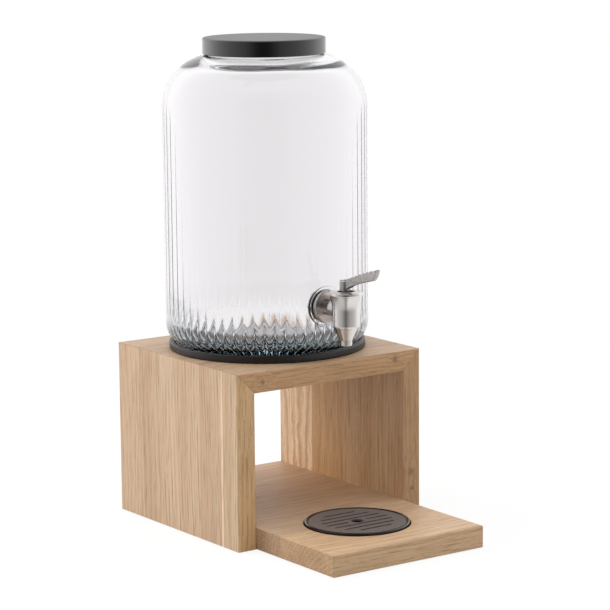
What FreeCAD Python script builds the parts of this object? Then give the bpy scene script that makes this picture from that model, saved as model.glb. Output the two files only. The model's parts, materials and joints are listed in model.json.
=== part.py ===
import FreeCAD, Part
import math
import os
from FreeCAD import Vector

# A countertop water dispenser: a glass jar with a black cap and a lever tap stands in a
# black ring on an oak stand, and a round drip tray sits in the stand's forward board.
# Lengths are in millimetres and angles in degrees. +Z is up and -Y is the front, where the tap
# and the tray are. The origin is the centre of the upright stand's footprint, on the worktop,
# straight below the jar's axis.

# Oak stand
stand_width = 230.0
stand_depth = 225.0
stand_height = 182.0
panel_thickness = 21.5
board_thickness = 22.5
board_overhang = 132.0
edge_chamfer = 0.8
tongue_length = 14.0
tongue_thickness = 4.0
tongue_setback = 25.0
dowel_radius = 4.0
dowel_length = 28.0
dowel_depth_in_panel = 11.0
dowel_count = 3
dowel_spacing = 80.0
joint_slack = 0.05
hole_slack = 0.5

# Ring that the jar stands in
ring_radius = 103.0
ring_height = 8.0
ring_wall = 5.2
ring_floor = 2.5
rest_gap = 0.3

# Glass jar
jar_radius = 106.5
jar_corner = 25.0
shoulder_radius = 55.0
shoulder_start = 434.0
neck_radius = 58.5
neck_fillet = 4.0
neck_top = 501.0
glass_wall = 4.5
base_thickness = 14.0
inner_corner = 20.0
punt_height = 3.0
punt_radius = 62.0
punt_foot = 70.0
lip_rounding = 1.5

# Cap
lid_radius = 63.8
lid_bottom = 489.0
lid_top = 505.7
lid_wall = 2.6
lid_plate = 3.0
lid_edge = 2.0
plug_radius = 52.6
plug_depth = 9.0
plug_wall = 2.4
seal_section = 1.3

# Tap: the body hangs on a horizontal barrel through the front of the jar
tap_y = -140.0
tap_z = 238.3
head_top = 258.0
waist_radius = 13.9
waist_top = 240.0
waist_bottom = 223.6
waist_rounding = (13.65, 222.1)
taper_end = 208.6
taper_end_radius = 6.7
taper_top = (13.0, 220.9)
flare_belly = (14.55, 246.8)
flare_end = (16.3, 253.4)
head_belly = (16.85, 255.9)
head_edge = (16.0, 257.5)
barrel_radius = 9.0
waterway_radius = 4.5
shank_radius = 8.0
shank_inner_end = -85.0
shank_outer_end = -122.0
boss_radius = 20.5
boss_face = -107.0
pad_face = -99.5
washer_radius = 17.0
washer_thickness = 1.2
flange_radius = 16.7
flange_thickness = 2.6
flange_hub_drop = 1.4
nut_across_flats = 27.0
nut_thickness = 7.0
chamber_radius = 8.8
chamber_bottom = 227.0
seat_height = 219.0
outlet_radius = 4.2
bonnet_radius = 10.8
bonnet_bore = 9.2
bonnet_bottom = 243.0
bonnet_floor_top = 245.6
bonnet_rim_radius = 12.4
bonnet_rim_bottom = 256.5
bonnet_top = 258.4
tip_radius = 6.15
tip_bottom = 202.7
tip_bore = 3.8
spigot_radius = 4.9
spigot_top = 213.0

# Lever, its pin and the valve inside the body
pin_y = -144.2
pin_z = 248.7
pin_radius = 1.5
pin_half_length = 9.0
eye_radius = 2.5
heel_y = tap_y
lug_radius = 0.9
running_slack = 0.05
lever_half_width = 2.6
post_back = -133.0
post_front = -141.7
lever_shoulder = (-133.0, 266.8)
lever_shoulder_bend = (-133.7, 268.6)
lever_crown = (-136.2, 269.5)
lever_top_points = [(-148.7, 272.6), (-160.0, 276.8), (-173.8, 281.3)]
lever_tip = (-193.8, 286.4)
lever_tip_bend = (-192.0, 280.2)
lever_chin = (-187.0, 274.4)
lever_underside_points = [(-180.0, 272.8), (-168.8, 270.0), (-158.5, 266.9)]
lever_throat = (-151.6, 264.2)
lever_throat_bend = (-146.2, 261.7)
lever_throat_foot = (-141.7, 260.0)
post_radius = 5.2
post_y = -138.6
post_bottom = 254.6
post_top = 268.7
post_chamfer = 0.5
lever_rounding = 0.8
yoke_back = -133.8
yoke_bottom = 253.8
yoke_top = 255.6
cheek_inner = 3.9
cheek_outer = 5.8
notch_count = 6
notch_radius = 1.7
notch_depth = 1.0
notch_first_y = -156.5
notch_last_y = -188.5
stem_radius = 1.7
collar_radius = 2.9
collar_bottom = 250.0
collar_top = 251.2
nose_radius = 2.4
nose_bottom = 221.6
seal_top = 225.6
piston_radius = 6.4
piston_bottom = 226.4
piston_top = 228.0
gland_radius = 3.2
gland_height = 1.6
spring_radius = 5.0
spring_wire = 0.45
spring_turns = 5
spring_steps = 16

# Drip tray and grate
tray_y = -157.0
pocket_radius = 55.0
pocket_depth = 15.0
tray_rim_radius = 53.5
tray_wall_radius = 52.9
tray_rim_top = 25.0
tray_wall = 2.0
grate_radius = 50.0
grate_top = 24.4
grate_thickness = 1.8
grate_gap = 0.4
slot_width = 3.2
slot_pitch = 10.6
slot_rows = 7
slot_reach = 37.6
slot_hub_gap = 11.0
hub_hole_radius = 6.5

inner_half_width = stand_width / 2 - panel_thickness
jar_bottom = stand_height + ring_floor + rest_gap
barrel_end = boss_face - washer_thickness - flange_thickness + flange_hub_drop


def arc(center, radius, start, end):
    # Middle and end points of an arc, for outline()
    def at(angle):
        turn = math.radians(angle)
        return center[0] + radius * math.cos(turn), center[1] + radius * math.sin(turn)
    return at((start + end) / 2), at(end)


def outline(start, *moves):
    # Closed face in the XZ plane. A move is a point, for a straight run, or a pair of points,
    # for an arc through the first to the second.
    def place(point):
        return Vector(point[0], 0, point[1])
    edges, here = [], start
    for move in moves + (start,):
        if isinstance(move[0], tuple):
            edges.append(Part.Arc(place(here), place(move[0]), place(move[1])).toShape())
            here = move[1]
        elif math.dist(here, move) > 1e-6:
            edges.append(Part.LineSegment(place(here), place(move)).toShape())
            here = move
    return Part.Face(Part.Wire(edges))


def turned(start, *moves):
    # Solid of revolution about Z from an outline of (radius, height) points
    return outline(start, *moves).revolve(Vector(0, 0, 0), Vector(0, 0, 1), 360)


def moved(shape, x=0.0, y=0.0, z=0.0):
    result = shape.copy()
    result.translate(Vector(x, y, z))
    return result


def facing_front(shape, y):
    # Lays a solid turned about Z on the tap's horizontal axis: its heights run towards -Y from y
    result = shape.copy()
    result.rotate(Vector(0, 0, 0), Vector(1, 0, 0), 90)
    result.translate(Vector(0, y, tap_z))
    return result


def rod(radius, start, end):
    # Cylinder from one point to another
    direction = end.sub(start)
    return Part.makeCylinder(radius, direction.Length, start, direction)


def across(radius, y, z, x0, x1):
    return rod(radius, Vector(x0, y, z), Vector(x1, y, z))


def chamfered_rectangle(width, height, chamfer):
    # Corner points, round from the lower left, of a rectangle centred on zero
    w, h, c = width / 2, height / 2, chamfer
    return [(-w + c, -h), (w - c, -h), (w, -h + c), (w, h - c),
            (w - c, h), (-w + c, h), (-w, h - c), (-w, -h + c)]


def polygon_prism(points, direction):
    return Part.Face(Part.makePolygon(points + points[:1])).extrude(direction)


def save(name, shape):
    solids = shape.Solids
    shape = solids[0] if len(solids) == 1 else Part.makeCompound(solids)
    if not shape.isValid():
        print("invalid shape:", name)
    shape.exportStep(f"parts/{name}.step")
    print(f"{name}: {len(solids)} solid(s), {len(shape.Faces)} faces, {shape.Volume / 1000:.2f} cm3")


# Stand

def miter_tongue(side, slack):
    # Loose tongue that keys a mitre, or the slot for it when slack is given
    length, width = tongue_length + 2 * slack, tongue_thickness + 2 * slack
    depth = stand_depth - 2 * tongue_setback + 2 * slack
    tongue = Part.makeBox(length, depth, width, Vector(-length / 2, -depth / 2, -width / 2))
    tongue.rotate(Vector(0, 0, 0), Vector(0, 1, 0), 45 * side)
    return moved(tongue, side * (stand_width / 2 - panel_thickness / 2), 0,
                 stand_height - panel_thickness / 2)


def dowel(side, y, slack, extra):
    # Dowel between a side panel and the board, or the hole for it
    outer = inner_half_width + dowel_depth_in_panel + extra
    inner = outer - dowel_length - 2 * extra
    return across(dowel_radius + slack, y, board_thickness / 2, side * inner, side * outer)


def dowel_positions():
    first = -dowel_spacing * (dowel_count - 1) / 2
    return [first + dowel_spacing * index for index in range(dowel_count)]


def side_panel(side):
    section = chamfered_rectangle(panel_thickness, stand_depth, edge_chamfer)
    middle = side * (stand_width / 2 - panel_thickness / 2)
    points = [Vector(middle + x, y, 0) for x, y in section]
    panel = polygon_prism(points, Vector(0, 0, stand_height))
    # Mitred at 45 degrees to meet the top
    reach = stand_depth
    corner = Vector(side * stand_width / 2, -reach / 2, stand_height)
    waste = polygon_prism([corner, corner.add(Vector(-side * reach, 0, -reach)),
                           corner.add(Vector(-side * reach, 0, 0))], Vector(0, reach, 0))
    panel = panel.cut(waste)
    holes = [dowel(side, y, joint_slack, hole_slack) for y in dowel_positions()]
    return panel.cut([miter_tongue(side, joint_slack)] + holes)


def top_panel():
    section = chamfered_rectangle(stand_depth, panel_thickness, edge_chamfer)
    middle = stand_height - panel_thickness / 2
    half = stand_width / 2
    points = [Vector(-half, y, middle + z) for y, z in section]
    panel = polygon_prism(points, Vector(stand_width, 0, 0))
    for side in (-1, 1):
        corner = Vector(side * half, -half, stand_height)
        foot = Vector(side * half, -half, stand_height - half)
        inner = Vector(0, -half, stand_height - half)
        panel = panel.cut(polygon_prism([corner, foot, inner], Vector(0, stand_width, 0)))
        panel = panel.cut(miter_tongue(side, joint_slack))
    return panel


def base_board():
    front = -stand_depth / 2 - board_overhang
    joint = -stand_depth / 2
    nose = Part.makeBox(2 * inner_half_width, board_overhang, board_thickness,
                        Vector(-inner_half_width, front, 0))
    free_edges = [edge for edge in nose.Edges
                  if min(vertex.Y for vertex in edge.Vertexes) < joint - 1]
    nose = nose.makeChamfer(edge_chamfer, free_edges)
    rear = Part.makeBox(2 * inner_half_width, stand_depth, board_thickness,
                        Vector(-inner_half_width, joint, 0))
    board = nose.fuse(rear).removeSplitter()
    pocket = Part.makeCylinder(pocket_radius, pocket_depth,
                               Vector(0, tray_y, board_thickness - pocket_depth))
    holes = [dowel(side, y, joint_slack, hole_slack)
             for side in (-1, 1) for y in dowel_positions()]
    return board.cut([pocket] + holes)


# Jar and what it stands in

def jar_ring():
    base, top = stand_height, stand_height + ring_height
    floor, inner = base + ring_floor, ring_radius - ring_wall
    edge, cove = 1.4, 5.0
    return turned((0, base), (ring_radius - edge, base),
                  arc((ring_radius - edge, base + edge), edge, -90, 0),
                  (ring_radius, top - edge),
                  arc((ring_radius - edge, top - edge), edge, 0, 90),
                  (inner + edge, top),
                  arc((inner + edge, top - edge), edge, 90, 180),
                  arc((inner - cove, floor + cove * 0.8), cove, 0, -53.13),
                  (inner - 2 * cove, floor), (0, floor))


def jar_form(inset, low, corner):
    # The jar's outline, set in from its outside and closed at the neck's top. Inside and outside
    # share the centres of their shoulder and neck arcs, so the wall keeps one thickness.
    shoulder = (jar_radius - shoulder_radius, shoulder_start)
    across_flare = neck_radius + neck_fillet - shoulder[0]
    rise = math.sqrt((shoulder_radius + neck_fillet) ** 2 - across_flare ** 2)
    meet = math.degrees(math.atan2(rise, across_flare))
    flare = (neck_radius + neck_fillet, shoulder_start + rise)
    wall = jar_radius - inset
    return turned((0, low), (wall - corner, low),
                  arc((wall - corner, low + corner), corner, -90, 0), (wall, shoulder_start),
                  arc(shoulder, shoulder_radius - inset, 0, meet),
                  arc(flare, neck_fillet + inset, 180 + meet, 180),
                  (neck_radius - inset, neck_top), (0, neck_top))


def glass_jar():
    outside = jar_form(0, jar_bottom, jar_corner)
    inside = jar_form(glass_wall, jar_bottom + base_thickness, inner_corner)
    # A shallow punt lets the base stand on its outer ring
    punt = turned((0, jar_bottom - 1), (punt_foot, jar_bottom - 1), (punt_foot, jar_bottom),
                  (punt_radius, jar_bottom + punt_height), (0, jar_bottom + punt_height))
    jar = outside.cut([inside, punt])
    lip = [edge for edge in jar.Edges if edge.BoundBox.ZMin > neck_top - 0.01 and edge.Closed]
    jar = jar.makeFillet(lip_rounding, lip)
    # A flat-faced boss outside and a flat pad inside give the tap's washers level seats
    root = -jar_radius + glass_wall / 2
    boss = facing_front(turned((0, 0), (boss_radius + 1.5, 0),
                               (boss_radius, root - boss_face), (0, root - boss_face)), root)
    pad = facing_front(turned((0, 0), (boss_radius - 1.0, 0),
                              (boss_radius + 0.5, root - pad_face), (0, root - pad_face)), root)
    bore = facing_front(Part.makeCylinder(shank_radius + 0.3, 20), pad_face + 5)
    return jar.fuse([boss, pad]).cut(bore).removeSplitter()


def lid():
    radius, inner = lid_radius, lid_radius - lid_wall
    under, small = lid_top - lid_plate, 0.6
    return turned((0, under), (inner - 1.5, under),
                  arc((inner - 1.5, under - 1.5), 1.5, 90, 0),
                  (inner, lid_bottom + small),
                  arc((inner + small, lid_bottom + small), small, 180, 270),
                  (radius - small, lid_bottom),
                  arc((radius - small, lid_bottom + small), small, -90, 0),
                  (radius, lid_top - lid_edge),
                  arc((radius - lid_edge, lid_top - lid_edge), lid_edge, 0, 90),
                  (0, lid_top))


def lid_plug():
    # Hollow plug under the cap, with a rim over the jar's lip and a groove for the seal
    top = lid_top - lid_plate
    low, groove = top - plug_depth, top - plug_depth / 2
    rim = neck_radius - 0.5
    seat = plug_radius - seal_section
    return turned((0, top), (rim, top), (rim, neck_top + rest_gap),
                  (plug_radius, neck_top + rest_gap),
                  (plug_radius, groove + seal_section), (seat, groove + seal_section),
                  (seat, groove - seal_section), (plug_radius, groove - seal_section),
                  (plug_radius, low + 1), (plug_radius - 1, low),
                  (seat - plug_wall + 1, low), (seat - plug_wall, low + 1),
                  (seat - plug_wall, top - plug_wall), (0, top - plug_wall))


def lid_seal():
    # Ring that fills the plug's groove and wipes the neck's bore
    height = lid_top - lid_plate - plug_depth / 2
    bore = neck_radius - glass_wall
    center = bore - running_slack - seal_section
    half = seal_section - running_slack
    inner = plug_radius - seal_section + running_slack
    return turned((inner, height - half), (center, height - half),
                  arc((center, height), half, -90, 90), (inner, height + half))


# Tap

def on_tap(solid):
    return moved(solid, 0, tap_y, 0)


def tap_body():
    # Head, flared neck, straight waist and tapered outlet are one turned form, and the
    # horizontal barrel grows out of the waist.
    rim = bonnet_rim_radius + running_slack
    bonnet_seat = bonnet_radius + running_slack
    spigot_seat = spigot_radius + running_slack
    form = on_tap(turned(
        (0, taper_end), (taper_end_radius, taper_end),
        taper_top, (waist_rounding, (waist_radius, waist_bottom)), (waist_radius, waist_top),
        (flare_belly, flare_end), (head_belly, head_edge),
        (rim + 0.8, head_top), (0, head_top)))
    barrel = across_front(barrel_radius, tap_y, barrel_end)
    inside = on_tap(turned(
        (0, taper_end), (spigot_seat, taper_end), (spigot_seat, spigot_top),
        (outlet_radius, spigot_top), (outlet_radius, seat_height),
        (chamber_radius, chamber_bottom), (chamber_radius, bonnet_bottom),
        (bonnet_seat, bonnet_bottom), (bonnet_seat, bonnet_rim_bottom),
        (rim, bonnet_rim_bottom), (rim, head_top), (0, head_top)))
    waterway = across_front(waterway_radius, tap_y, barrel_end)
    socket = across_front(shank_radius + running_slack, shank_outer_end, barrel_end)
    return form.fuse(barrel).cut([inside, waterway, socket])


def across_front(radius, y0, y1):
    return rod(radius, Vector(0, y0, tap_z), Vector(0, y1, tap_z))


def threaded_shank():
    tube = across_front(shank_radius, shank_outer_end, shank_inner_end)
    rims = [edge for edge in tube.Edges if len(edge.Vertexes) == 1]
    return tube.makeChamfer(0.8, rims).cut(across_front(waterway_radius, tap_y, 0))


def tap_flange():
    # Dished disc that hides the jar's hole: a raised rim, then a face that falls to the barrel
    hole, hub = shank_radius + running_slack, barrel_radius + 0.6
    thick, seat = flange_thickness, flange_thickness - flange_hub_drop
    return facing_front(turned(
        (hole, 0), (flange_radius, 0), (flange_radius, thick - 0.8),
        arc((flange_radius - 0.8, thick - 0.8), 0.8, 0, 90),
        (flange_radius - 1.2, thick), (flange_radius - 1.6, thick - 0.4),
        (hub, seat), (hole, seat)),
        boss_face - washer_thickness)


def jar_washer(face, outward):
    # Soft washer with rounded edges, lying on the boss or on the pad
    edge = 0.5
    hole, outer = shank_radius + running_slack, washer_radius - (0 if outward else 0.8)
    ring = turned((hole, 0), (outer - edge, 0), arc((outer - edge, edge), edge, -90, 0),
                  (outer, washer_thickness - edge),
                  arc((outer - edge, washer_thickness - edge), edge, 0, 90),
                  (hole, washer_thickness))
    return facing_front(ring, face if outward else face + washer_thickness)


def lock_nut():
    corner = nut_across_flats / math.sqrt(3)
    points = [Vector(corner * math.cos(math.radians(60 * n)),
                     corner * math.sin(math.radians(60 * n)), 0) for n in range(6)]
    prism = polygon_prism(points, Vector(0, 0, nut_thickness))
    # The usual cone chamfer rounds the hexagon's corners at both faces
    flat = nut_across_flats / 2
    bevel = (corner - flat) * math.tan(math.radians(30))
    cone = turned((0, 0), (flat, 0), (corner, bevel), (corner, nut_thickness - bevel),
                  (flat, nut_thickness), (0, nut_thickness))
    bore = Part.makeCylinder(shank_radius + running_slack, nut_thickness)
    return facing_front(prism.common(cone).cut(bore), pad_face + washer_thickness + nut_thickness)


def bonnet():
    # Screwed insert in the head: the lever rocks in its bore and the stem slides in its floor
    stem_hole, bore = stem_radius + running_slack, bonnet_bore
    sleeve = turned(
        (gland_radius, bonnet_bottom), (bonnet_radius, bonnet_bottom),
        (bonnet_radius, bonnet_rim_bottom), (bonnet_rim_radius, bonnet_rim_bottom),
        (bonnet_rim_radius, bonnet_top - 0.5),
        arc((bonnet_rim_radius - 0.5, bonnet_top - 0.5), 0.5, 0, 90),
        (bore + 0.7, bonnet_top), (bore, bonnet_top - 0.7), (bore, bonnet_floor_top),
        (stem_hole, bonnet_floor_top), (stem_hole, bonnet_bottom + gland_height),
        (gland_radius, bonnet_bottom + gland_height))
    pin_hole = across(pin_radius, pin_y, pin_z, -bonnet_radius, bonnet_radius)
    return on_tap(sleeve).cut(pin_hole)


def spout_tip():
    return on_tap(turned(
        (tip_bore, tip_bottom), (tip_radius - 0.5, tip_bottom),
        arc((tip_radius - 0.5, tip_bottom + 0.5), 0.5, -90, 0),
        (tip_radius, taper_end - 0.4), (tip_radius - 0.4, taper_end),
        (spigot_radius, taper_end), (spigot_radius, spigot_top - 0.3), (tip_bore, spigot_top - 0.3)))


def lever_pin():
    return across(pin_radius, pin_y, pin_z, -pin_half_length, pin_half_length)


def lever_side():
    # Side view of the handle: neck, swept arm that deepens towards its tip, and hollow underside
    def place(point):
        return Vector(0, point[0], point[1])

    def run(start, end):
        return Part.LineSegment(place(start), place(end)).toShape()

    def bend(start, middle, end):
        return Part.Arc(place(start), place(middle), place(end)).toShape()

    def sweep(points):
        spline = Part.BSplineCurve()
        spline.interpolate([place(point) for point in points])
        return spline.toShape()
    foot_back, foot_front = (post_back, yoke_top - 1), (post_front, yoke_top - 1)
    return Part.Wire([
        run(foot_back, lever_shoulder),
        bend(lever_shoulder, lever_shoulder_bend, lever_crown),
        sweep([lever_crown] + lever_top_points + [lever_tip]),
        bend(lever_tip, lever_tip_bend, lever_chin),
        sweep([lever_chin] + lever_underside_points + [lever_throat]),
        bend(lever_throat, lever_throat_bend, lever_throat_foot),
        run(lever_throat_foot, foot_front), run(foot_front, foot_back)])


def lever_handle():
    half = lever_half_width
    handle = moved(Part.Face(lever_side()).extrude(Vector(2 * half, 0, 0)), -half)
    long_edges = [edge for edge in handle.Edges
                  if abs(abs(edge.CenterOfMass.x) - half) < 1e-3 and edge.Length > 12
                  and edge.CenterOfMass.z > lever_throat_foot[1] + 3]
    handle = handle.makeFillet(lever_rounding, long_edges)
    # Notches across the top give the thumb a grip: each is set at the top's own height
    step = (notch_last_y - notch_first_y) / (notch_count - 1)
    notches = []
    for index in range(notch_count):
        y = notch_first_y + step * index
        low, high = Vector(0, y, lever_throat_foot[1]), Vector(0, y, lever_tip[1] + 5)
        z = rod(0.05, low, high).common(handle).BoundBox.ZMax + notch_radius - notch_depth
        notches.append(across(notch_radius, y, z, -half - 1, half + 1))
    post = Part.makeCylinder(post_radius, post_top - post_bottom, Vector(0, post_y, post_bottom))
    rims = [edge for edge in post.Edges if len(edge.Vertexes) == 1]
    return handle.cut(notches).fuse(post.makeChamfer(post_chamfer, rims))


def lever_cheek(side):
    # One cheek of the yoke that straddles the stem: it turns on the pin at its eye, and its lug
    # lies under the stem's collar
    inner, outer = side * cheek_inner, side * cheek_outer

    def plate(*points):
        return polygon_prism([Vector(inner, y, z) for y, z in points], Vector(outer - inner, 0, 0))
    web = plate((pin_y - 1.2, pin_z + 2.0), (heel_y + 4.5, yoke_bottom), (yoke_back, yoke_bottom),
                (yoke_back, yoke_top), (post_front, yoke_top), (pin_y + 0.2, yoke_bottom - 0.8))
    heel = plate((pin_y, pin_z - 1.4), (heel_y + 0.9, pin_z - 1.4), (heel_y + 2.2, yoke_bottom),
                 (pin_y, yoke_bottom))
    eye = across(eye_radius, pin_y, pin_z, inner, outer)
    lug = across(lug_radius, heel_y, pin_z, side * (stem_radius + rest_gap), outer)
    return [web, heel, eye, lug]


def tap_lever():
    bridge = Part.makeBox(2 * cheek_outer, yoke_back - post_front, yoke_top - yoke_bottom,
                          Vector(-cheek_outer, post_front, yoke_bottom))
    lever = lever_handle().fuse([bridge] + lever_cheek(-1) + lever_cheek(1)).removeSplitter()
    return lever.cut(across(pin_radius + running_slack, pin_y, pin_z, -20, 20))


def valve_plunger():
    # Stem with the collar that the lever lifts, a piston for the spring and a nose for the seal
    return on_tap(turned(
        (0, nose_bottom), (nose_radius, nose_bottom), (nose_radius, piston_bottom),
        (piston_radius, piston_bottom),
        (piston_radius, piston_top), (stem_radius, piston_top), (stem_radius, collar_bottom),
        (collar_radius, collar_bottom), (collar_radius, collar_top - 0.4),
        (collar_radius - 0.4, collar_top), (0, collar_top)))


def valve_seal():
    # Conical cup on the plunger's nose, lying in the body's conical seat
    nose, low = nose_radius + running_slack, nose_bottom
    slope = (chamber_radius - outlet_radius) / (chamber_bottom - seat_height)

    def seat(height):
        return outlet_radius + slope * (height - seat_height) - 0.15
    return on_tap(turned(
        (nose, low), (seat(low) - 0.4, low), (seat(low + 0.6), low + 0.6),
        (seat(seal_top), seal_top), (seat(seal_top), piston_bottom - running_slack),
        (nose, piston_bottom - running_slack)))


def valve_spring():
    # Coil wound in short straight runs, with a hexagonal wire, so that it stays light
    length = bonnet_bottom - piston_top - 2 * spring_wire - 0.2
    count = spring_turns * spring_steps
    path = []
    for index in range(count + 1):
        turn = 2 * math.pi * index / spring_steps
        path.append(Vector(spring_radius * math.cos(turn), spring_radius * math.sin(turn),
                           length * index / count))
    along = path[1].sub(path[0]).normalize()
    outward = Vector(1, 0, 0).sub(along * along.x).normalize()
    upward = along.cross(outward)
    section = []
    for corner in range(6):
        turn = math.radians(60 * corner)
        section.append(path[0].add(outward * (spring_wire * math.cos(turn)))
                       .add(upward * (spring_wire * math.sin(turn))))
    wire = Part.makePolygon(section + section[:1])
    coil = Part.makePolygon(path).makePipeShell([wire], True, False, 1)
    return on_tap(moved(coil, 0, 0, piston_top + spring_wire + 0.1))


def stem_ring():
    section = (gland_radius - stem_radius) / 2 - running_slack / 2
    ring = Part.makeTorus(stem_radius + running_slack / 2 + section, section)
    return on_tap(moved(ring, 0, 0, bonnet_bottom + gland_height / 2))


# Tray

def drip_tray():
    floor = board_thickness - pocket_depth + rest_gap
    ledge = grate_top - grate_thickness - rest_gap
    lip, inner = 1.3, grate_radius + grate_gap
    inside = grate_radius - 1.8
    return moved(turned(
        (0, floor), (tray_wall_radius - 3, floor),
        arc((tray_wall_radius - 3, floor + 3), 3, -90, 0),
        (tray_wall_radius, board_thickness - 1), (tray_rim_radius, board_thickness - 0.4),
        (tray_rim_radius, tray_rim_top - lip),
        arc((tray_rim_radius - lip, tray_rim_top - lip), lip, 0, 90),
        (inner + 0.6, tray_rim_top), (inner, tray_rim_top - 0.6), (inner, ledge),
        (inside, ledge), (inside, floor + tray_wall + 4),
        arc((inside - 4, floor + tray_wall + 4), 4, 0, -90), (0, floor + tray_wall)), 0, tray_y)


def slot(x0, x1, y):
    # Round-ended slot cutter along X
    low, tall, r = grate_top - grate_thickness - 1, grate_thickness + 2, slot_width / 2
    straight = Part.makeBox(x1 - x0 - 2 * r, slot_width, tall, Vector(x0 + r, y - r, low))
    ends = [Part.makeCylinder(r, tall, Vector(x, y, low)) for x in (x0 + r, x1 - r)]
    return straight.fuse(ends).removeSplitter()


def drip_grate():
    edge = 0.5
    low = grate_top - grate_thickness
    disc = moved(turned((0, low), (grate_radius - edge, low), (grate_radius, low + edge),
                        (grate_radius, grate_top - edge), (grate_radius - edge, grate_top),
                        (0, grate_top)), 0, tray_y)
    cutters = [Part.makeCylinder(hub_hole_radius, grate_thickness + 2, Vector(0, tray_y, low - 1))]
    for row in range(slot_rows):
        offset = (row - (slot_rows - 1) / 2) * slot_pitch
        reach = math.sqrt(slot_reach ** 2 - offset ** 2)
        y = tray_y + offset
        if offset == 0:
            cutters += [slot(-reach, -slot_hub_gap, y), slot(slot_hub_gap, reach, y)]
        else:
            cutters.append(slot(-reach, reach, y))
    return disc.cut(cutters)


os.makedirs("parts", exist_ok=True)
save("left_side_panel", side_panel(-1))
save("right_side_panel", side_panel(1))
save("top_panel", top_panel())
save("miter_tongues", Part.makeCompound([miter_tongue(-1, 0), miter_tongue(1, 0)]))
save("base_board", base_board())
save("base_dowels", Part.makeCompound([dowel(side, y, 0, 0) for side in (-1, 1)
                                       for y in dowel_positions()]))
save("jar_ring", jar_ring())
save("glass_jar", glass_jar())
save("lid", lid())
save("lid_plug", lid_plug())
save("lid_seal", lid_seal())
save("tap_body", tap_body())
save("threaded_shank", threaded_shank())
save("tap_flange", tap_flange())
save("outer_washer", jar_washer(boss_face, True))
save("inner_washer", jar_washer(pad_face, False))
save("lock_nut", lock_nut())
save("bonnet", bonnet())
save("spout_tip", spout_tip())
save("lever_pin", lever_pin())
save("tap_lever", tap_lever())
save("valve_plunger", valve_plunger())
save("valve_seal", valve_seal())
save("valve_spring", valve_spring())
save("stem_ring", stem_ring())
save("drip_tray", drip_tray())
save("drip_grate", drip_grate())
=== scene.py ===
import json
import math

import bmesh
import bpy
from mathutils import Matrix, Vector


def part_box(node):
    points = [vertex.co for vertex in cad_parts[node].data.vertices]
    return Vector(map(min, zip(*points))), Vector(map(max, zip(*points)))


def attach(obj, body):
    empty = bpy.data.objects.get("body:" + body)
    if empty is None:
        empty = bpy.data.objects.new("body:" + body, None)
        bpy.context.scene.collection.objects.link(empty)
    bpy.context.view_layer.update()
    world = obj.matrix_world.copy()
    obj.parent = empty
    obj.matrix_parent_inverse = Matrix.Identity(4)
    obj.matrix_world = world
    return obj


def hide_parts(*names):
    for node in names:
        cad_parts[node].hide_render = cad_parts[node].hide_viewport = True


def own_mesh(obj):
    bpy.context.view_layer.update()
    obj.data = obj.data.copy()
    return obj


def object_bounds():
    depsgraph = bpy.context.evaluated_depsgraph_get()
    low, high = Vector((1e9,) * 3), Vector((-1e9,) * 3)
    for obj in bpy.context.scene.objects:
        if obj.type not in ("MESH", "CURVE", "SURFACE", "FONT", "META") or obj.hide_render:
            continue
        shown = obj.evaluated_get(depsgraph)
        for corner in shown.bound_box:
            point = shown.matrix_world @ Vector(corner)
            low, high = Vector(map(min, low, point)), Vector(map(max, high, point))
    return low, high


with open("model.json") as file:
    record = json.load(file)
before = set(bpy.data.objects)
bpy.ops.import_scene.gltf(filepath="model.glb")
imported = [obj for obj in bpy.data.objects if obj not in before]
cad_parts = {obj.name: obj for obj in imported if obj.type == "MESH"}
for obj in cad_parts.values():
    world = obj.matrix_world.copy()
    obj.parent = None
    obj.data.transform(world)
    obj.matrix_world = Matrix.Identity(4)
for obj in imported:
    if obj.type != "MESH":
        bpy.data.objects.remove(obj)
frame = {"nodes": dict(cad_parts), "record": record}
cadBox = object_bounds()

nodes = frame["nodes"]


# Shader helpers

class Channel:
    # Wraps a socket, so that arithmetic on it adds Math nodes
    def __init__(self, paint, socket):
        self.paint, self.socket = paint, socket

    def combine(self, operation, *values):
        return self.paint.add("ShaderNodeMath", {"operation": operation}, dict(enumerate(values)))

    def __add__(self, other):
        return self.combine("ADD", self, other)

    def __sub__(self, other):
        return self.combine("SUBTRACT", self, other)

    def __rsub__(self, other):
        return self.combine("SUBTRACT", other, self)

    def __mul__(self, other):
        return self.combine("MULTIPLY", self, other)

    def __truediv__(self, other):
        return self.combine("DIVIDE", self, other)

    def __pow__(self, other):
        return self.combine("POWER", self, other)

    def __abs__(self):
        return self.combine("ABSOLUTE", self)

    __radd__ = __add__
    __rmul__ = __mul__


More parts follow.
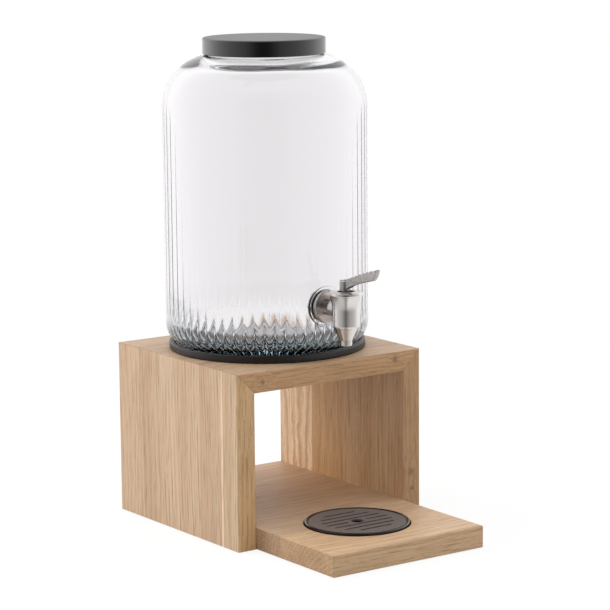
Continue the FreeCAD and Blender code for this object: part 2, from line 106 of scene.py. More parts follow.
class Paint:
    # Builds the node tree of one material, or of the world
    def __init__(self, name, owner=None):
        self.owner = owner or bpy.data.materials.new(name)
        self.owner.use_nodes = True
        self.tree = self.owner.node_tree
        self.tree.nodes.clear()

    def add(self, kind, settings=None, inputs=None, *outputs):
        node = self.tree.nodes.new(kind)
        for key, value in (settings or {}).items():
            if key == "stops":
                self.setStops(node.color_ramp, value)
            elif key == "steps":
                node.color_ramp.interpolation = "CONSTANT" if value else "LINEAR"
            else:
                setattr(node, key, value)
        for key, value in (inputs or {}).items():
            socket = node.inputs[key]
            if isinstance(value, Channel):
                self.tree.links.new(value.socket, socket)
            elif socket.type == "RGBA" and len(value) == 3:
                socket.default_value = (*value, 1.0)
            else:
                socket.default_value = value
        found = [Channel(self, node.outputs[key]) for key in (outputs or (0,))] if node.outputs else []
        return found[0] if len(found) == 1 else found

    def setStops(self, ramp, stops):
        while len(ramp.elements) < len(stops):
            ramp.elements.new(1.0)
        for element, (place, color) in zip(ramp.elements, stops):
            element.position = place
            element.color = (*color, 1.0) if len(color) == 3 else color

    def mixColor(self, mask, first, second, kind="MIX"):
        return self.add("ShaderNodeMix", {"data_type": "RGBA", "blend_type": kind},
                        {0: mask, 6: first, 7: second}, 2)

    def ramp(self, value, *stops, steps=False):
        stops = [(place, (level,) * 3) if isinstance(level, (int, float)) else (place, level)
                 for place, level in stops]
        return self.add("ShaderNodeValToRGB", {"stops": stops, "steps": steps}, {0: value})

    def between(self, value, low, high, first=0.0, second=1.0):
        # Smooth step from first to second as value goes from low to high
        return self.add("ShaderNodeMapRange", {"interpolation_type": "SMOOTHSTEP"},
                        {0: value, 1: low, 2: high, 3: first, 4: second})

    def noise(self, point, scale=1.0, detail=2.0, roughness=0.5):
        return self.add("ShaderNodeTexNoise", {}, {"Vector": point, "Scale": scale, "Detail": detail,
                        "Roughness": roughness})

    def place(self):
        return self.add("ShaderNodeTexCoord", {}, {}, "Object")

    def parts(self, point):
        return self.add("ShaderNodeSeparateXYZ", {}, {0: point}, 0, 1, 2)

    def joined(self, x, y, z):
        return self.add("ShaderNodeCombineXYZ", {}, {0: x, 1: y, 2: z})

    def gap(self, point, other):
        # Distance between two points
        return self.add("ShaderNodeVectorMath", {"operation": "DISTANCE"}, {0: point, 1: other}, 1)

    def bump(self, height, distance, strength=1.0):
        return self.add("ShaderNodeBump", {}, {"Height": height, "Distance": distance,
                        "Strength": strength})

    def coat(self, sockets):
        shader = self.add("ShaderNodeBsdfPrincipled", {}, sockets)
        self.add("ShaderNodeOutputMaterial", {}, {"Surface": shader})
        return self.owner


def giveNode(name, material):
    slots = nodes[name].data.materials
    slots.clear()
    slots.append(material)


# Camera and studio

bpy.context.scene.view_settings.view_transform = "Standard"

viewpoint = {"azimuth": -35.36, "elevation": 9.85, "roll": -0.52, "distance": 2.7253,
             "lens": 151.0, "aim": (0.0545, 0.0078, 0.2180)}

studio = {
    "ambient": 0.50,      # level of the sky that lights plain surfaces
    # What metal reflects of the room, and what glass shows of it: the cosine between a direction
    # and the way to viewpoint, and the level there. It is brightest behind the object and to the
    # sides of that, and darkest toward viewpoint
    "room": [(-1.0, 1.15), (-0.88, 1.25), (-0.5, 1.60), (-0.1, 1.18), (0.4, 0.70), (0.80, 0.45),
             (0.90, 0.24), (0.96, 0.07), (1.0, 0.03)],
    "glassRoom": [(-1.0, 0.86), (-0.985, 0.87), (-0.95, 1.02), (-0.88, 0.92), (-0.5, 1.14), (-0.1, 1.10),
                  (0.4, 0.95), (0.8, 0.80), (1.0, 0.65)],
    "roomTilt": 0.10,     # how much brighter its left side is than its middle
    "roomTint": (1.0, 0.985, 0.985), "glassTint": (1.0, 0.958, 0.972),
    "floorAlbedo": 0.70, "floorShade": 0.16, "floorGlow": 0.86, "floorPassed": 0.78,
    # What metal reflects of the floor: left of the tap, before it and right of it
    "floorMirrored": (0.66, 0.27, 1.05), "floorMiddle": 0.075, "floorSide": (0.01, 0.13),
    "floorFade": (0.75, 1.15), "floorReach": 6.0, "floorDrop": 0.0004,
    "lamps": {            # name: (place, width and height, watts)
        "backLeftSoftbox": ((-1.6, 1.8, 1.0), (2.0, 2.0), 33.0),
        "topSoftbox": ((0.0, 0.0, 2.4), (2.4, 2.4), 32.0),
    },
}


def cameraDirection():
    azimuth, elevation = math.radians(viewpoint["azimuth"]), math.radians(viewpoint["elevation"])
    return Vector((math.sin(azimuth) * math.cos(elevation),
                   -math.cos(azimuth) * math.cos(elevation), math.sin(elevation)))


def cameraSide():
    return Vector((0, 0, 1)).cross(cameraDirection()).normalized()


def makeCamera():
    back, side, roll = cameraDirection(), cameraSide(), math.radians(viewpoint["roll"])
    up = back.cross(side)
    right = side * math.cos(roll) + up * math.sin(roll)
    up = up * math.cos(roll) - side * math.sin(roll)
    data = bpy.data.cameras.new("camera")
    data.lens, data.sensor_width, data.clip_start = viewpoint["lens"], 36.0, 0.05
    camera = bpy.data.objects.new("camera", data)
    camera.matrix_world = Matrix.Translation(
        Vector(viewpoint["aim"]) + back * viewpoint["distance"]) @ Matrix(
        (right, up, back)).transposed().to_4x4()
    bpy.context.scene.collection.objects.link(camera)
    bpy.context.scene.camera = camera


def makeLamps():
    for name, (place, size, watts) in studio["lamps"].items():
        data = bpy.data.lights.new(name, "AREA")
        data.shape, data.size, data.size_y, data.energy = "RECTANGLE", size[0], size[1], watts
        lamp = bpy.data.objects.new(name, data)
        lamp.location = place
        lamp.visible_glossy = lamp.visible_transmission = False  # the sky shows them, softer
        lamp.rotation_euler = (Vector((0, 0, 0.25)) - Vector(place)).to_track_quat("-Z", "Y").to_euler()
        bpy.context.scene.collection.objects.link(lamp)


def lightPath(paint):
    # 1 on rays from the camera, 1 on those that metal and glass pass on, and 1 on glass's alone
    camera, glossy, through = paint.add("ShaderNodeLightPath", {}, {}, "Is Camera Ray",
                                        "Is Glossy Ray", "Is Transmission Ray")
    return camera, glossy.combine("MAXIMUM", glossy, through), through


def makeWorld():
    world = bpy.data.worlds.new("studioSky")
    bpy.context.scene.world = world
    paint = Paint("studioSky", world)
    camera, passed, through = lightPath(paint)
    outward = paint.add("ShaderNodeTexCoord", {}, {}, "Generated")
    toward, sideways = (paint.add("ShaderNodeVectorMath", {"operation": "DOT_PRODUCT"},
                                  {0: outward, 1: tuple(axis)}, 1)
                        for axis in (cameraDirection(), cameraSide()))
    mirrored, refracted = (paint.ramp(toward * 0.5 + 0.5, *[(place * 0.5 + 0.5, level)
                                                            for place, level in studio[key]])
                           for key in ("room", "glassRoom"))
    room = (1 - through) * mirrored * (1 - sideways * studio["roomTilt"]) + through * refracted
    level = camera + (1 - camera) * (passed * room + (1 - passed) * studio["ambient"])
    tint = paint.mixColor(passed, (1, 1, 1, 1), (*studio["roomTint"], 1))
    tint = paint.mixColor(through, tint, (*studio["glassTint"], 1))
    sky = paint.add("ShaderNodeBackground", {}, {"Color": tint, "Strength": level})
    paint.add("ShaderNodeOutputWorld", {}, {"Surface": sky})
    world.cycles.sampling_method = "NONE"


def makeFloor():
    mesh = bpy.data.meshes.new("floor")
    reach = studio["floorReach"]
    mesh.from_pydata([(-reach, -reach, 0), (reach, -reach, 0), (reach, reach, 0), (-reach, reach, 0)],
                     [], [(0, 1, 2, 3)])
    floor = bpy.data.objects.new("floor", mesh)
    floor.location.z = cadBox[0][2] - studio["floorDrop"]
    bpy.context.scene.collection.objects.link(floor)
    paint = Paint("palePaper")
    camera, passed, through = lightPath(paint)
    x, y, z = paint.parts(paint.place())
    left, middle, right = studio["floorMirrored"]
    side = cameraSide()
    sideways = (x * side.x + y * side.y) - studio["floorMiddle"]
    mirrored = (middle + paint.between(sideways, *studio["floorSide"], 0.0, right - middle)
                + paint.between(0.0 - sideways, *studio["floorSide"], 0.0, left - middle))
    glow = paint.add("ShaderNodeEmission", {}, {
        "Color": paint.mixColor(through, (1, 1, 1, 1), (*studio["glassTint"], 1)),
        "Strength": camera * studio["floorGlow"] + (1 - camera) * (
            (1 - through) * mirrored + through * studio["floorPassed"])})
    shade, albedo = studio["floorShade"], studio["floorAlbedo"]
    seen = paint.add("ShaderNodeAddShader", {}, {
        0: glow, 1: paint.add("ShaderNodeBsdfDiffuse", {}, {"Color": (shade, shade, shade)})})
    lit = paint.add("ShaderNodeBsdfDiffuse", {}, {"Color": (albedo, albedo, albedo)})
    both = paint.add("ShaderNodeMixShader", {}, {0: camera.combine("MAXIMUM", camera, passed),
                                                 1: lit, 2: seen})
    # The paper fades into the backdrop, so that no edge of it shows
    near, far = studio["floorFade"]
    faded = paint.add("ShaderNodeMixShader", {}, {
        0: paint.between((x * x + y * y) ** 0.5, near, far),
        1: both, 2: paint.add("ShaderNodeBsdfTransparent", {}, {})})
    paint.add("ShaderNodeOutputMaterial", {}, {"Surface": faded})
    paint.owner.cycles.emission_sampling = "NONE"
    mesh.materials.append(paint.owner)


makeCamera()
makeLamps()
makeWorld()
makeFloor()
print("studio ready")


# Oak

oak = {
    "light": (0.760, 0.560, 0.385), "dark": (0.545, 0.338, 0.205), "deep": (0.190, 0.105, 0.052),
    "ringContrast": 0.62, "fibreContrast": 0.17, "hairContrast": 0.26, "poreContrast": 0.46,
    "bandContrast": 0.30, "endTone": (0.84, 0.78, 0.72), "fleckTone": (1.22, 1.20, 1.14),
    "glueLine": 0.16, "seam": 0.55, "seamWidth": 0.00035,
}

# Each plank: axes of the grain, of the staves' width and of the thickness, the pith's place
# across and through, width of a growth ring, tone of its narrow edges, share of ray flecks, the
# staves as (where each starts across, tint, roughness of figure), and its knots
planks = {
    "left_side_panel": {
        "axes": (2, 1, 0), "pith": (0.30, -0.36), "ring": 0.0034,
        "edge": (1.05, 0.945, 0.76), "flecks": 0.1,
        "staves": [(-0.120, (1.00, 1.0, 0.95), 0.25), (-0.0870, (1.50, 1.58, 1.66), 0.0),
                   (-0.0825, (0.99, 0.97, 0.945), 0.2), (-0.045, (1.03, 1.015, 1.0), 0.2),
                   (0.030, (0.955, 0.935, 0.895), 0.3), (0.070, (1.0, 0.985, 0.95), 0.3)], "knots": []},
    "right_side_panel": {
        "axes": (2, 1, 0), "pith": (0.20, 0.34), "ring": 0.0042,
        "edge": (0.84, 0.745, 0.66), "flecks": 0.9,
        # Its staves differ in tone, and the first three's warm, saturated tints are also painted bounce
        # light from the wood around its shaded inner face
        "staves": [(-0.120, (0.96, 0.90, 0.77), 0.3), (-0.078, (0.93, 0.86, 0.69), 0.25),
                   (-0.005, (0.98, 0.85, 0.61), 0.3), (0.051, (1.30, 1.31, 1.24), 2.2)],
        "knots": [((0.1035, -0.1125, 0.052), 0.0052), ((0.1045, -0.1125, 0.034), 0.0034)]},
    "top_panel": {
        "axes": (0, 1, 2), "pith": (-0.24, 0.06), "ring": 0.0040,
        "edge": (0.98, 0.84, 0.66), "flecks": 0.15,
        # Its staves are darkened to about 0.9, painted shade on its upper face under the strong top light;
        # its edge tone takes the front edge back up
        "staves": [(-0.120, (0.90, 0.88, 0.84), 0.4), (-0.045, (0.92, 0.90, 0.88), 0.3),
                   (0.035, (0.88, 0.87, 0.85), 0.3)],
        "knots": [((-0.084, -0.1125, 0.171), 0.0034), ((0.083, -0.1125, 0.174), 0.0042)]},
    "base_board": {
        "axes": (0, 1, 2), "pith": (-0.262, -0.035), "ring": 0.0046,
        "edge": (0.95, 0.92, 0.86), "flecks": 0.1,
        "staves": [(-0.250, (1.09, 1.06, 0.97), 0.3), (-0.150, (1.01, 1.02, 1.0), 0.25),
                   (-0.045, (0.96, 0.94, 0.91), 0.25), (0.04, (0.98, 0.96, 0.93), 0.3)], "knots": []},
}


def makeOak(name, plank):
    paint = Paint(name)
    spot = paint.place()
    axes = paint.parts(spot)
    along, across, through = (axes[index] for index in plank["axes"])
    first, reach = plank["staves"][0][0], 0.30
    scaled = (across - first) / reach
    stops = [(start - first) / reach for start, _, _ in plank["staves"]]
    stave = paint.ramp(scaled, *[(stop, 0.1 * number) for number, stop in enumerate(stops)], steps=True)
    tint = paint.ramp(scaled, *[(stop, row[1]) for stop, row in zip(stops, plank["staves"])], steps=True)
    rough = paint.ramp(scaled, *[(stop, row[2]) for stop, row in zip(stops, plank["staves"])], steps=True)
    # Knots push the grain aside and darken it, with an uneven rim
    swirl = paint.noise(spot, 340.0, 2.0, 0.6)
    knotted, knotShade = 0.0, 0.0
    for place, radius in plank["knots"]:
        near = paint.gap(spot, place) / radius + (swirl - 0.5) * 1.5
        knotted = knotted + paint.between(near, 0.2, 5.0, 1.0, 0.0)
        knotShade = knotShade + paint.between(near, 0.1, 1.3, 1.0, 0.0)
    straight = across
    # The grain sways, and more so where the figure is rough
    along = along + stave * 17.0
    sway = paint.noise(paint.joined(across * 11.0, through * 11.0, along * 4.0), 1.0, 1.0)
    wave = paint.noise(paint.joined(across * 70.0, through * 70.0, along * 55.0), 1.0, 2.0)
    across = across + (sway - 0.5) * 0.014 + (wave - 0.5) * rough * 0.0050 + knotted * 0.0022
    # Growth rings round the pith
    drift = paint.noise(paint.joined(across * 10.0, through * 10.0, along * 2.4), 1.0, 1.0)
    sideways, depth = across - plank["pith"][0] + stave * 0.21, through - plank["pith"][1]
    rings = ((sideways * sideways + depth * depth) ** 0.5 + drift * 0.024) / plank["ring"]
    ring = rings.combine("FRACT", rings)
    ringTone = paint.ramp(ring, (0.0, 0.80), (0.16, 0.95), (0.34, 0.45), (0.62, 0.12), (0.90, 0.30),
                          (1.0, 0.80))
    figure = paint.between(paint.noise(paint.joined(across * 22.0, through * 22.0, along * 3.0), 1.0, 1.0),
                           0.38, 0.62, 0.25, 1.0)
    # Bands, fibres, hairlines and open pores run with the grain; the pores crowd into each ring's start
    bands = paint.noise(paint.joined(across * 42.0, through * 42.0, along * 1.3), 1.0, 2.0, 0.5)
    fibre = paint.noise(paint.joined(across * 330.0, through * 330.0, along * 5.0), 1.0, 2.0, 0.6)
    hair = paint.noise(paint.joined(across * 900.0, through * 900.0, along * 9.0), 1.0, 1.0, 0.6)
    fine = paint.noise(paint.joined(across * 1300.0, through * 1300.0, along * 30.0), 1.0, 2.0, 0.6)
    pores = paint.between(fine + ringTone * 0.08, 0.56, 0.68)
    fibreTone = paint.between(fibre, 0.34, 0.66)
    shade = ((ringTone - 0.4) * figure * oak["ringContrast"] * (0.25 + rough)
             + (fibreTone - 0.5) * (0.5 + rough) * oak["fibreContrast"]
             + (paint.between(hair, 0.42, 0.62) - 0.5) * oak["hairContrast"]
             + (paint.between(bands, 0.34, 0.66) - 0.5) * oak["bandContrast"] + 0.42)
    color = paint.mixColor(shade, oak["light"], oak["dark"])
    color = paint.mixColor(pores * oak["poreContrast"], color, oak["deep"])
    color = paint.mixColor(1.0, color, tint, "MULTIPLY")
    # Ray flecks, short and pale, lie slantwise over the grain
    slant = paint.joined((across + along * 0.55) * 300.0, through * 90.0, (along - across * 0.55) * 60.0)
    flecks = paint.between(paint.noise(slant, 1.0, 2.0, 0.5), 0.60, 0.68)
    patch = paint.between(paint.noise(paint.joined(across * 16.0, through * 16.0, along * 9.0), 1.0, 1.0),
                          0.44, 0.60)
    color = paint.mixColor(flecks * patch * plank["flecks"] * 0.8, color,
                           paint.mixColor(1.0, color, oak["fleckTone"], "MULTIPLY"))
    # Narrow edges and end grain take their own tones
    facing = paint.parts(paint.add("ShaderNodeTexCoord", {}, {}, "Normal"))
    edge, end = facing[plank["axes"][1]], facing[plank["axes"][0]]
    edge, end = edge * edge, end * end
    color = paint.mixColor(edge, color, paint.mixColor(1.0, color, plank["edge"], "MULTIPLY"))
    dots = paint.between(fine, 0.40, 0.62, 1.06, 0.72)
    endColor = paint.mixColor(1.0, paint.mixColor(1.0, color, oak["endTone"], "MULTIPLY"),
                              paint.joined(dots, dots, dots), "MULTIPLY")
    color = paint.mixColor(end, color, endColor)
    if plank["knots"]:
        color = paint.mixColor(knotShade * 0.7, color, oak["deep"])
    # Fine dark lines where staves are glued and where the frame's corners are mitred
    line = 0.0
    for start, *_ in plank["staves"][1:]:
        line = line + paint.between(abs(straight - start), 0.0001, 0.0004, oak["glueLine"], 0.0)
    if name != "base_board_oak":
        x, y, z = axes
        off = (cadBox[1][0] - abs(x)) - (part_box("top_panel")[1][2] - z)
        line = line + paint.between(abs(off), oak["seamWidth"] * 0.5, oak["seamWidth"], oak["seam"], 0.0)
    color = paint.mixColor(line, color, oak["deep"])
    return paint.coat({
        "Base Color": color, "Roughness": paint.between(fibre, 0.3, 0.7, 0.44, 0.58),
        "Normal": paint.bump(shade * 0.5 - pores * 0.6, 0.00012, 0.8)})


for name, plank in planks.items():
    giveNode(name, makeOak(name + "_oak", plank))
for name in ("miter_tongues", "base_dowels"):
    giveNode(name, makeOak(name + "_oak", planks["top_panel"]))
print("oak ready")


# Mesh helpers

def newPiece(name, mesh, body, material, smooth):
    mesh.shade_smooth()
    mesh.set_sharp_from_angle(angle=math.radians(smooth))
    piece = bpy.data.objects.new(name, mesh)
    bpy.context.scene.collection.objects.link(piece)
    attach(piece, body)
    mesh.materials.append(material)
    return piece


def arcPoints(center, radius, start, end, count):
    turns = [math.radians(start + (end - start) * step / count) for step in range(count + 1)]
    return [(center[0] + radius * math.cos(turn), center[1] + radius * math.sin(turn)) for turn in turns]


def spunMesh(name, rows):
    # rows is a list of rings, each a list of points of one length, or a single pole point
    mesh = bmesh.new()
    rings = [[mesh.verts.new(point) for point in ring] for ring in rows]
    for lower, upper in zip(rings, rings[1:]):
        count = max(len(lower), len(upper))
        for index in range(count):
            after = (index + 1) % count
            corners = [lower[index % len(lower)], lower[after % len(lower)],
                       upper[after % len(upper)], upper[index % len(upper)]]
            mesh.faces.new(list(dict.fromkeys(corners)))
    data = bpy.data.meshes.new(name)
    mesh.to_mesh(data)
    mesh.free()
    return data


# Glass jar: smooth outside, and ribbed inside by flutes that fade into the shoulder and wrap
# round the inner corner on to the floor

jar = {
    "radius": 0.1065, "corner": 0.025, "neckRadius": 0.0585, "neckFillet": 0.004,
    "shoulderRadius": 0.055, "shoulderStart": 0.434, "lip": 0.0015,
    "wall": 0.0045, "neckWall": 0.0045, "base": 0.014, "innerCorner": 0.015,
    "punt": 0.0015, "puntFoot": 0.070,
    "flutes": 60, "fluteColumns": 10, "fluteDepth": 0.0026, "petalReach": 0.050,
    "flutesFlatten": 0.218,  # above this the flutes turn to flats between fine ridges
    "fluteFade": [(0.209, 1.0), (0.226, 0.22), (0.244, 0.12), (0.300, 0.095), (0.410, 0.060),
                  (0.455, 0.0)],
    "beadDepth": 0.0025, "beadPlace": 0.480, "beadSpread": 0.004,  # unevenly thick glass under the neck
    "stippleScale": 420.0, "stippleDepth": 0.0009,  # pressed grain under the foot
    "pressedTop": 0.0046, "restFrom": 0.006, "restTo": 0.068, "bearing": (0.32, 0.42),
    "tint": (0.56, 0.78, 0.86), "tintDepth": 9.0,
}


def jarSide(inset, low, corner):
    # Points of (radius, height), from the floor's edge up to the neck
    shoulder = (jar["radius"] - jar["shoulderRadius"], jar["shoulderStart"])
    across = jar["neckRadius"] + jar["neckFillet"] - shoulder[0]
    rise = math.sqrt((jar["shoulderRadius"] + jar["neckFillet"]) ** 2 - across ** 2)
    meet = math.degrees(math.atan2(rise, across))
    flare = (jar["neckRadius"] + jar["neckFillet"], shoulder[1] + rise)
    wall = jar["radius"] - inset
    side = arcPoints((wall - corner, low + corner), corner, -90, 0, 24 if inset else 12)
    steps = 22 if inset else 3
    side += [(wall, low + corner + (shoulder[1] - low - corner) * step / steps) for step in range(1, steps)]
    side += arcPoints(shoulder, jar["shoulderRadius"] - inset, 0, meet, 32 if inset else 24)
    side += arcPoints(flare, jar["neckFillet"] + inset, 180 + meet, 180, 12 if inset else 8)
    if not inset:
        return side
    return side + [(side[-1][0], side[-1][1] + 0.0012 * step) for step in range(1, 8)]


def fluteDepth(radius, height):
    # Deepest at the foot of the wall, gone in the shoulder and at the petals' tips on the floor
    stops = jar["fluteFade"]
    share = stops[0][1]
    for (low, first), (high, second) in zip(stops, stops[1:]):
        if height >= low:
            step = min((height - low) / (high - low), 1.0)
            share = first + (second - first) * step * step * (3.0 - 2.0 * step)
    inward = (jar["radius"] - jar["wall"] - jar["innerCorner"] - radius) / jar["petalReach"]
    return jar["fluteDepth"] * share * (1.0 - min(max(inward, 0.0), 1.0))


def makeJar():
    low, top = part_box("glass_jar")[0][2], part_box("glass_jar")[1][2]
    columns = jar["flutes"] * jar["fluteColumns"]
    turns = [2 * math.pi * index / columns for index in range(columns)]

    def ring(radius, height):
        return [(radius * math.sin(turn), -radius * math.cos(turn), height) for turn in turns]
    lip, neck, wall = jar["lip"], jar["neckRadius"], jar["neckWall"]
    rows = [[(0, 0, low + jar["punt"])]]
    for step in range(1, 13):
        share = step / 12
        rows.append(ring(jar["puntFoot"] * share, low + jar["punt"] * (1 - share * share)))
    rows += [ring(*point) for point in jarSide(0.0, low, jar["corner"])]
    rows += [ring(*point) for point in arcPoints((neck - lip, top - lip), lip, 0, 90, 6)]
    rows += [ring(*point) for point in arcPoints((neck - wall + lip, top - lip), lip, 90, 180, 6)]
    floor = low + jar["base"]
    inside = jarSide(jar["wall"], floor, jar["innerCorner"])
    flat = inside[0][0]
    inside = [(flat * step / 24, floor) for step in range(1, 24)] + inside
    for index in range(len(inside) - 1, -1, -1):
        here = Vector(inside[index])
        before = Vector(inside[max(index - 1, 0)])
        after = Vector(inside[min(index + 1, len(inside) - 1)])
        run = (after - before).normalized()
        outward = Vector((run.y, -run.x))
        depth = fluteDepth(here.x, here.y)
        flatness = 2.0 + 4.0 * min(max((here.y - jar["flutesFlatten"]) / 0.04, 0.0), 1.0)
        bead = jar["beadDepth"] * math.exp(-((here.y - jar["beadPlace"]) / jar["beadSpread"]) ** 2)
        points = []
        for column, turn in enumerate(turns):
            share = 2.0 * ((column / jar["fluteColumns"]) % 1.0) - 1.0
            spot = here + outward * (depth * (1.0 - abs(share) ** flatness))
            spot.x -= bead * (1.0 + 0.35 * math.sin(2 * turn + 0.7) + 0.25 * math.sin(5 * turn))
            points.append((spot.x * math.sin(turn), -spot.x * math.cos(turn), spot.y))
        rows.append(points)
    rows.append([(0, 0, floor)])
    return newPiece("glassJar", spunMesh("glassJar", rows), "jar", glass, 24.0)


# Short cones on the tap's axis: radius at the start and at the end, and the start and end along Y
tapSeat = {
    "boss": (0.0220, 0.0205, -0.1030, -0.1070), "pad": (0.0165, 0.0175, -0.0995, -0.1035),
    "bore": (0.0083, 0.0083, -0.0900, -0.1150), "sides": 96,
}


def tapDisc(name):
    radius, narrow, start, end = tapSeat[name]
    height = (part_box("tap_flange")[0][2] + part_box("tap_flange")[1][2]) / 2
    turns = [2 * math.pi * index / tapSeat["sides"] for index in range(tapSeat["sides"])]

    def ring(size, y):
        return [(size * math.cos(turn), y, height + size * math.sin(turn)) for turn in turns]
    rows = [[(0, start, height)], ring(radius, start), ring(narrow, end), [(0, end, height)]]
    piece = bpy.data.objects.new(name, spunMesh(name, rows))
    bpy.context.scene.collection.objects.link(piece)
    return piece


def combine(piece, *steps):
    for operation, tool in steps:
        change = piece.modifiers.new(operation, "BOOLEAN")
        change.operation, change.object, change.solver = operation, tool, "MANIFOLD"
        bpy.context.view_layer.update()
        depsgraph = bpy.context.evaluated_depsgraph_get()
        mesh = bpy.data.meshes.new_from_object(piece.evaluated_get(depsgraph))
        piece.modifiers.clear()
        old, piece.data = piece.data, mesh
        bpy.data.meshes.remove(old)
        bpy.data.objects.remove(tool)


def makeGlass():
    paint = Paint("clearGlass")
    x, y, z = paint.parts(paint.place())
    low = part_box("glass_jar")[0][2]
    radius = (x * x + y * y) ** 0.5
    pressed = paint.between(z, low + jar["pressedTop"] - 0.001, low + jar["pressedTop"], 1.0, 0.0)
    resting = paint.between(z, low + 0.0030, low + 0.0040, 1.0, 0.0) * paint.between(
        radius, jar["restFrom"] - 0.004, jar["restFrom"]) * paint.between(
        radius, jar["restTo"], jar["restTo"] + 0.004, 1.0, 0.0)
    stipple = paint.noise(paint.place(), jar["stippleScale"], 1.0)
    shader = paint.add("ShaderNodeBsdfPrincipled", {}, {
        "Base Color": (1, 1, 1), "Roughness": 0.0, "IOR": 1.5, "Transmission Weight": 1.0,
        "Normal": paint.bump(pressed * stipple, jar["stippleDepth"])})
    # The grain's tips bear on the black ring, and it shows through them
    bearing = paint.add("ShaderNodeBsdfDiffuse", {}, {"Color": (0.012, 0.011, 0.011)})
    surface = paint.add("ShaderNodeMixShader", {}, {
        0: resting * paint.between(stipple, *jar["bearing"]), 1: shader, 2: bearing})
    volume = paint.add("ShaderNodeVolumeAbsorption", {}, {"Color": jar["tint"], "Density": jar["tintDepth"]})
    paint.add("ShaderNodeOutputMaterial", {}, {"Surface": surface, "Volume": volume})
    return paint.owner


glass = makeGlass()
glassJar = makeJar()
combine(glassJar, ("UNION", tapDisc("boss")), ("UNION", tapDisc("pad")),
        ("DIFFERENCE", tapDisc("bore")))
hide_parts("glass_jar")
print("jar ready:", len(glassJar.data.polygons), "faces")


# Metal, cap, ring, tray and seals

# The side's colour is darker than the top's: painted shade on the cap's side
cap = {"top": (0.0018, 0.0016, 0.0020), "side": (0.0010, 0.0008, 0.0012), "topRough": 0.44,
       "sideRough": 0.19, "specular": 1.0}


def makeSteel(name, tone=(0.60, 0.58, 0.565), low=0.17, high=0.23, turned=0.65):
    # Turned, with a satin polish: faint lines run round the part's axis and spread its shine
    # along it
    paint = Paint(name)
    x, y, z = paint.parts(paint.place())
    around = paint.noise(paint.joined(x * 30.0, y * 30.0, z * 2200.0), 1.0, 2.0, 0.6)
    cloud = paint.noise(paint.place(), 90.0, 2.0)
    return paint.coat({"Base Color": tone, "Metallic": 1.0,
                       "Anisotropic": turned, "Anisotropic Rotation": 0.25,
                       "Roughness": paint.ramp(around * 0.6 + cloud * 0.4, (0.35, low), (0.65, high)),
                       "Normal": paint.bump(around, 0.000003)})


def makeLeverSteel():
    # Satin steel: its upward faces get a lighter base colour than its sides, a painted highlight
    paint = Paint("leverSteel")
    x, y, z = paint.parts(paint.place())
    up = paint.parts(paint.add("ShaderNodeTexCoord", {}, {}, "Normal"))[2]
    grain = paint.noise(paint.joined(x * 600.0, y * 60.0, z * 600.0), 1.0, 2.0, 0.6)
    # Painted highlight: a lighter base colour on the faces that point up
    return paint.coat({"Base Color": paint.mixColor(paint.between(up, 0.3, 0.8), (0.36, 0.345, 0.335),
                                                    (0.80, 0.79, 0.78)),
                       "Metallic": 1.0, "Roughness": paint.ramp(grain, (0.35, 0.26), (0.65, 0.36)),
                       "Normal": paint.bump(grain, 0.00002)})


def makeCap():
    # Black, with a satin top and a smoother side; the side's base colour is darker than the top's, painted
    # shade
    paint = Paint("blackCap")
    up = paint.parts(paint.add("ShaderNodeTexCoord", {}, {}, "Normal"))[2]
    cloud = paint.noise(paint.place(), 900.0, 3.0)
    top = paint.between(up, 0.3, 0.9)
    return paint.coat({"Base Color": paint.mixColor(top, cap["side"], cap["top"]),
                       "Roughness": top * cap["topRough"] + (1 - top) * cap["sideRough"]
                       + (cloud - 0.5) * 0.1,
                       "Specular IOR Level": cap["specular"], "Normal": paint.bump(cloud, 0.00002)})


def makePlain(name, color, roughness):
    paint = Paint(name)
    cloud = paint.noise(paint.place(), 900.0, 3.0)
    patch = paint.noise(paint.place(), 25.0, 2.0)
    darker = tuple(level * 0.8 for level in color)
    return paint.coat({"Base Color": paint.mixColor(patch, darker, color),
                       "Roughness": paint.ramp(cloud, (0.3, roughness - 0.04), (0.7, roughness + 0.04)),
                       "Normal": paint.bump(cloud, 0.00002)})


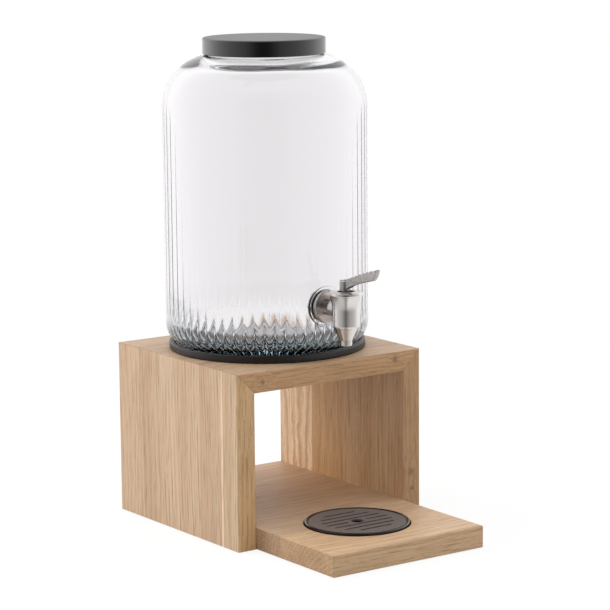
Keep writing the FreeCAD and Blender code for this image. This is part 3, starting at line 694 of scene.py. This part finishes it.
steel = makeSteel("brushedSteel")
flangeSteel = makeSteel("flangeSteel", (0.50, 0.445, 0.415), 0.22, 0.30, 0.0)
leverSteel = makeLeverSteel()
blackRubber = makePlain("blackRubber", (0.012, 0.011, 0.011), 0.42)
blackCap = makeCap()
gloss = makePlain("trayBlack", (0.006, 0.0055, 0.0055), 0.22)
grate = makePlain("grateGrey", (0.180, 0.164, 0.164), 0.40)
washerGrey = makePlain("washerGrey", (0.50, 0.49, 0.50), 0.30)
silicone = makePlain("silicone", (0.55, 0.55, 0.56), 0.45)
finishes = {"black_rubber": blackRubber, "black_cap": blackCap, "cap_liner": silicone,
            "silicone": silicone, "dark_seal": blackRubber, "stainless": steel,
            "spring_steel": steel, "black_tray": gloss, "dark_grate": grate}
for part in frame["record"]["subparts"]:
    if part["material_slot"] in finishes:
        giveNode(part["node"], finishes[part["material_slot"]])

for name, material in (("tap_flange", flangeSteel), ("tap_lever", leverSteel),
                       ("outer_washer", washerGrey)):
    giveNode(name, material)
print("finishes ready")


# Valve spring, wound again here as a fixed coil the size of the part; the real one shortens as the plunger
# lifts

spring = {"turns": 5, "steps": 32, "sides": 10, "wire": 0.00045, "lift": 0.0018}


def makeSpring():
    low, high = (Vector(corner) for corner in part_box("valve_spring"))
    wire, count = spring["wire"], spring["turns"] * spring["steps"]
    start = Vector(((low.x + high.x) / 2, (low.y + high.y) / 2, low.z + wire))
    radius, height = (high.x - low.x) / 2 - wire, high.z - low.z - 2 * wire
    section = [-2 * math.pi * index / spring["sides"] for index in range(spring["sides"])]
    rows = []
    for step in range(count + 1):
        turn = 2 * math.pi * step / spring["steps"]
        outward = Vector((math.cos(turn), math.sin(turn), 0))
        center = start + outward * radius + Vector((0, 0, height * step / count))
        rows.append([center + outward * (wire * math.cos(angle)) + Vector((0, 0, wire * math.sin(angle)))
                     for angle in section])
        if step == 0:
            rows.insert(0, [center])
        elif step == count:
            rows.append([center])
    piece = newPiece("valveSpring", spunMesh("valveSpring", rows), "jar", steel, 50.0)
    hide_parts("valve_spring")
    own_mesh(piece)


makeSpring()
print("spring ready")
